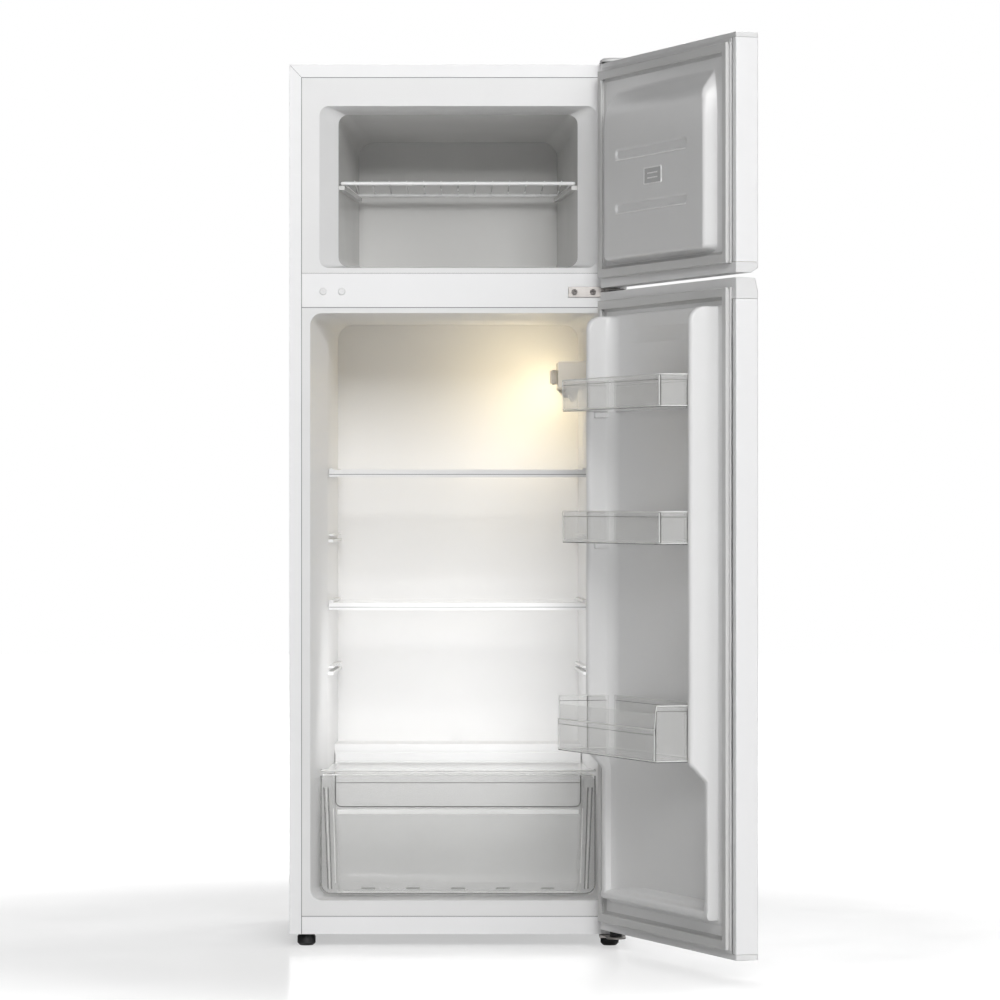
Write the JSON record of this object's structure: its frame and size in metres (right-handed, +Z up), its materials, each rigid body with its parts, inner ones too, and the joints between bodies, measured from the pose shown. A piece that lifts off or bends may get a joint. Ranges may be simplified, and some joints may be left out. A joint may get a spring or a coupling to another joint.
{
  "type": "top freezer refrigerator",
  "caption": "Upright two-door refrigerator with a small freezer on top, both doors open, glass shelves, a clear crisper drawer and clear door bins.",
  "frame": {"origin": "on the floor under the centre of the cabinet's plan, doors and their opening not counted", "axes": "+Z up, the front with the doors faces -Y, +X to the right of someone facing the front, hinges on the +X side"},
  "size_m": [0.7243, 1.0503, 1.432],
  "materials": {
    "white_steel": "satin",
    "galvanised": "satin",
    "white_plastic": "satin",
    "grey_plastic": "matte",
    "clear_plastic": "gloss",
    "clear_glass": "gloss",
    "foam": "matte",
    "gasket_rubber": "matte",
    "black_plastic": "matte",
    "black_steel": "satin",
    "zinc": "satin",
    "white_wire": "gloss",
    "aluminium": "satin",
    "copper": "satin",
    "warm_lens": "satin"
  },
  "bodies": {
    "cabinet": {"cabinet_shell": "white_steel", "back_panel": "galvanised", "base_pan": "galvanised", "front_base_beam": "white_steel", "center_crossbar": "white_steel", "cabinet_foam": "foam", "freezer_liner": "white_plastic", "fridge_liner": "white_plastic", "evaporator_plate": "aluminium", "condenser_coil": "copper", "compressor": "black_steel", "compressor_plate": "galvanised", "drip_tray": "black_plastic", "drain_tube": "grey_plastic", "terminal_box": "black_plastic", "cord_gland": "black_plastic", "lamp_housing": "white_plastic", "lamp_cover": "warm_lens", "lamp_bulb": "clear_glass", "door_switch_body": "white_plastic", "top_hinge_bracket": "zinc", "top_hinge_cover": "white_plastic", "middle_hinge_bracket": "zinc", "middle_hinge_washer": "black_plastic", "middle_hinge_screw_1": "zinc", "middle_hinge_screw_2": "zinc", "hinge_hole_plug_1": "white_plastic", "hinge_hole_plug_2": "white_plastic", "bottom_hinge_bracket": "zinc", "bottom_hinge_washer": "black_plastic", "rear_foot_left": "black_plastic", "rear_foot_right": "black_plastic"},
    "freezer_door": {"freezer_door_pan": "white_steel", "freezer_door_foam": "foam", "freezer_door_liner": "white_plastic", "freezer_door_gasket": "gasket_rubber", "freezer_door_top_cap": "white_plastic", "freezer_door_grip_cap": "white_plastic"},
    "fridge_door": {"fridge_door_pan": "white_steel", "fridge_door_foam": "foam", "fridge_door_liner": "white_plastic", "fridge_door_gasket": "gasket_rubber", "fridge_door_grip_cap": "white_plastic", "fridge_door_bottom_cap": "white_plastic"},
    "upper_bin": {"door_bin_upper": "clear_plastic"},
    "middle_bin": {"door_bin_middle": "clear_plastic"},
    "bottle_bin": {"door_bin_bottle": "clear_plastic"},
    "wire_shelf": {"freezer_wire_shelf": "white_wire"},
    "upper_shelf": {"upper_shelf_glass": "clear_glass", "upper_shelf_trim": "white_plastic"},
    "lower_shelf": {"lower_shelf_glass": "clear_glass", "lower_shelf_trim": "white_plastic"},
    "crisper_cover": {"crisper_cover_glass": "clear_glass", "crisper_cover_trim": "white_plastic"},
    "crisper": {"crisper_drawer": "clear_plastic"},
    "thermostat": {"thermostat_knob": "grey_plastic"},
    "door_switch": {"door_switch_plunger": "grey_plastic"},
    "left_foot": {"front_foot_left": "black_plastic"},
    "right_foot": {"front_foot_right": "black_plastic"}
  },
  "joints": [
    {"name": "freezer_door_hinge", "type": "hinge", "parent": "cabinet", "child": "freezer_door", "pos_m": [0.254, -0.2845, 0], "axis": [0, 0, 1], "range_deg": [-110.2, 24.8]},
    {"name": "fridge_door_hinge", "type": "hinge", "parent": "cabinet", "child": "fridge_door", "pos_m": [0.254, -0.2845, 0], "axis": [0, 0, 1], "range_deg": [-110.2, 24.8]},
    {"name": "crisper_drawer_slide", "type": "slide", "parent": "cabinet", "child": "crisper", "axis": [0, -1, 0], "range_m": [0, 0.24]},
    {"name": "crisper_cover_slide", "type": "slide", "parent": "cabinet", "child": "crisper_cover", "axis": [0, -1, 0], "range_m": [0, 0.15]},
    {"name": "upper_shelf_slide", "type": "slide", "parent": "cabinet", "child": "upper_shelf", "axis": [0, -1, 0], "range_m": [0, 0.18]},
    {"name": "lower_shelf_slide", "type": "slide", "parent": "cabinet", "child": "lower_shelf", "axis": [0, -1, 0], "range_m": [0, 0.18]},
    {"name": "wire_shelf_slide", "type": "slide", "parent": "cabinet", "child": "wire_shelf", "axis": [0, -1, 0], "range_m": [0, 0.2]},
    {"name": "upper_bin_lift", "type": "slide", "parent": "fridge_door", "child": "upper_bin", "axis": [0, 0, 1], "range_m": [0, 0.03]},
    {"name": "middle_bin_lift", "type": "slide", "parent": "fridge_door", "child": "middle_bin", "axis": [0, 0, 1], "range_m": [0, 0.03]},
    {"name": "bottle_bin_lift", "type": "slide", "parent": "fridge_door", "child": "bottle_bin", "axis": [0, 0, 1], "range_m": [0, 0.03]},
    {"name": "thermostat_dial", "type": "hinge", "parent": "cabinet", "child": "thermostat", "pos_m": [0.157, -0.0365, 0.926], "axis": [-1, 0, 0], "range_deg": [0, 300]},
    {"name": "door_switch_press", "type": "slide", "parent": "cabinet", "child": "door_switch", "axis": [0, 1, 0], "range_m": [0, 0.005], "stiffness_N_per_m": 120, "springref_m": -0.003},
    {"name": "left_foot_screw", "type": "hinge", "parent": "cabinet", "child": "left_foot", "pos_m": [-0.246, -0.2165, 0.01], "axis": [0, 0, 1], "continuous": true},
    {"name": "right_foot_screw", "type": "hinge", "parent": "cabinet", "child": "right_foot", "pos_m": [0.246, -0.2165, 0.01], "axis": [0, 0, 1], "continuous": true}
  ]
}
